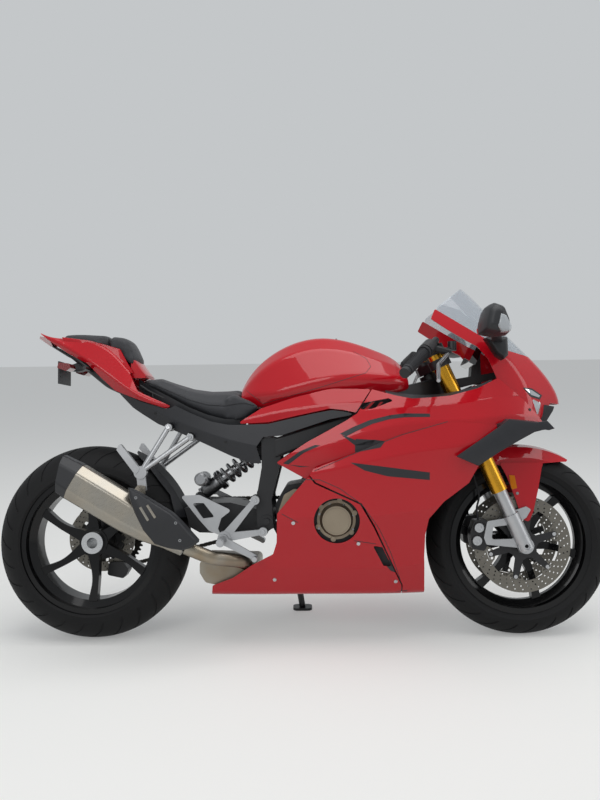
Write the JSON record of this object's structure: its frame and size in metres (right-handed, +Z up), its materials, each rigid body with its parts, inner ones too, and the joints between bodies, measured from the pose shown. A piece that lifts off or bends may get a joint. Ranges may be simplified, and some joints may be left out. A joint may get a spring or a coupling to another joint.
{
  "type": "sport motorcycle",
  "caption": "Faired sport motorcycle parked on its side stand, with turning wheels, steering, folding stand and hinged fuel cap.",
  "frame": {"origin": "on the ground, under the middle of the parked motorcycle's box", "axes": "+X forwards, +Y to the rider's left, +Z up; it leans 7 degrees to the left"},
  "size_m": [2.0088, 0.7932, 1.1349],
  "materials": {
    "red_paint": "gloss red paint",
    "black_gloss": "gloss black",
    "black_satin": "satin black moulding",
    "black_metal": "satin black paint",
    "tyre_rubber": "matt rubber",
    "grip_rubber": "soft rubber",
    "gold_anodised": "gold anodised",
    "cast_aluminium": "cast, light grey",
    "bronze_coat": "bronze coated cover",
    "machined_aluminium": "machined",
    "steel": "brushed",
    "chain_steel": "oiled steel",
    "exhaust_steel": "brushed stainless",
    "seat_cover": "dark grey grained cover",
    "screen": "clear moulded screen",
    "lamp_lens": "clear lens",
    "red_lens": "red lens",
    "display": "gloss display"
  },
  "bodies": {
    "root": {"main_frame": "black_metal", "rear_frame": "black_metal", "engine_block": "black_metal", "engine_covers": "bronze_coat", "radiator": "black_metal", "exhaust_pipes": "exhaust_steel", "exhaust_canister": "exhaust_steel", "canister_cap": "black_metal", "heat_shield": "black_satin", "swingarm": "black_metal", "rear_brake_caliper": "black_metal", "rear_hugger": "black_satin", "rear_shock": "steel", "footrest_brackets": "cast_aluminium", "footrests": "cast_aluminium", "passenger_brackets": "cast_aluminium", "rider_seat": "seat_cover", "tail_pads": "seat_cover", "tail_cowl": "red_paint", "side_covers": "black_satin", "tail_floor": "black_satin", "rear_lamps": "red_lens", "upper_cowl": "red_paint", "windscreen": "screen", "nose_intake": "black_satin", "headlights": "lamp_lens", "winglets": "black_satin", "mirrors": "black_gloss", "cockpit_panels": "black_satin", "instrument_display": "display", "nose_stay": "black_metal", "drive_chain": "chain_steel", "side_fairings": "red_paint", "lower_fairings": "red_paint", "upper_fairings": "red_paint", "fuel_tank": "red_paint"},
    "fork": {"fork_yokes": "black_metal", "fork_outer_tubes": "gold_anodised", "fork_lower_legs": "cast_aluminium", "front_brake_calipers": "black_metal", "front_axle": "machined_aluminium", "front_fender": "red_paint", "handlebars": "black_metal", "hand_grips": "grip_rubber", "hand_levers": "black_metal", "brake_hoses": "grip_rubber"},
    "front_wheel": {"front_tyre": "tyre_rubber", "front_rim": "black_gloss", "front_brake_discs": "steel"},
    "rear_wheel": {"rear_tyre": "tyre_rubber", "rear_rim": "black_gloss", "rear_brake_disc": "steel", "rear_sprocket": "steel", "wheel_spindle": "machined_aluminium"},
    "side_stand": {"side_stand": "black_metal"},
    "fuel_cap": {"fuel_cap": "black_metal"}
  },
  "joints": [
    {"name": "steering", "type": "hinge", "parent": "root", "child": "fork", "pos_m": [0.67748, -0.08575, 0.2861], "axis": [-0.4067, 0.1113, 0.9067], "range_deg": [-25, 25]},
    {"name": "front_wheel_spin", "type": "hinge", "parent": "fork", "child": "front_wheel", "pos_m": [0.70489, -0.08427, 0.29821], "axis": [0, 0.9925, -0.1219], "continuous": true},
    {"name": "rear_wheel_spin", "type": "hinge", "parent": "root", "child": "rear_wheel", "pos_m": [-0.69011, -0.08241, 0.31332], "axis": [0, 0.9925, -0.1219], "continuous": true},
    {"name": "stand_hinge", "type": "hinge", "parent": "root", "child": "side_stand", "pos_m": [-0.05461, 0.0468, 0.2333], "axis": [0, 0.9613, 0.2756], "range_deg": [0, 96]},
    {"name": "cap_hinge", "type": "hinge", "parent": "root", "child": "fuel_cap", "pos_m": [0.11639, -0.00181, 0.96972], "axis": [0, 0.9925, -0.1219], "range_deg": [0, 95]}
  ]
}
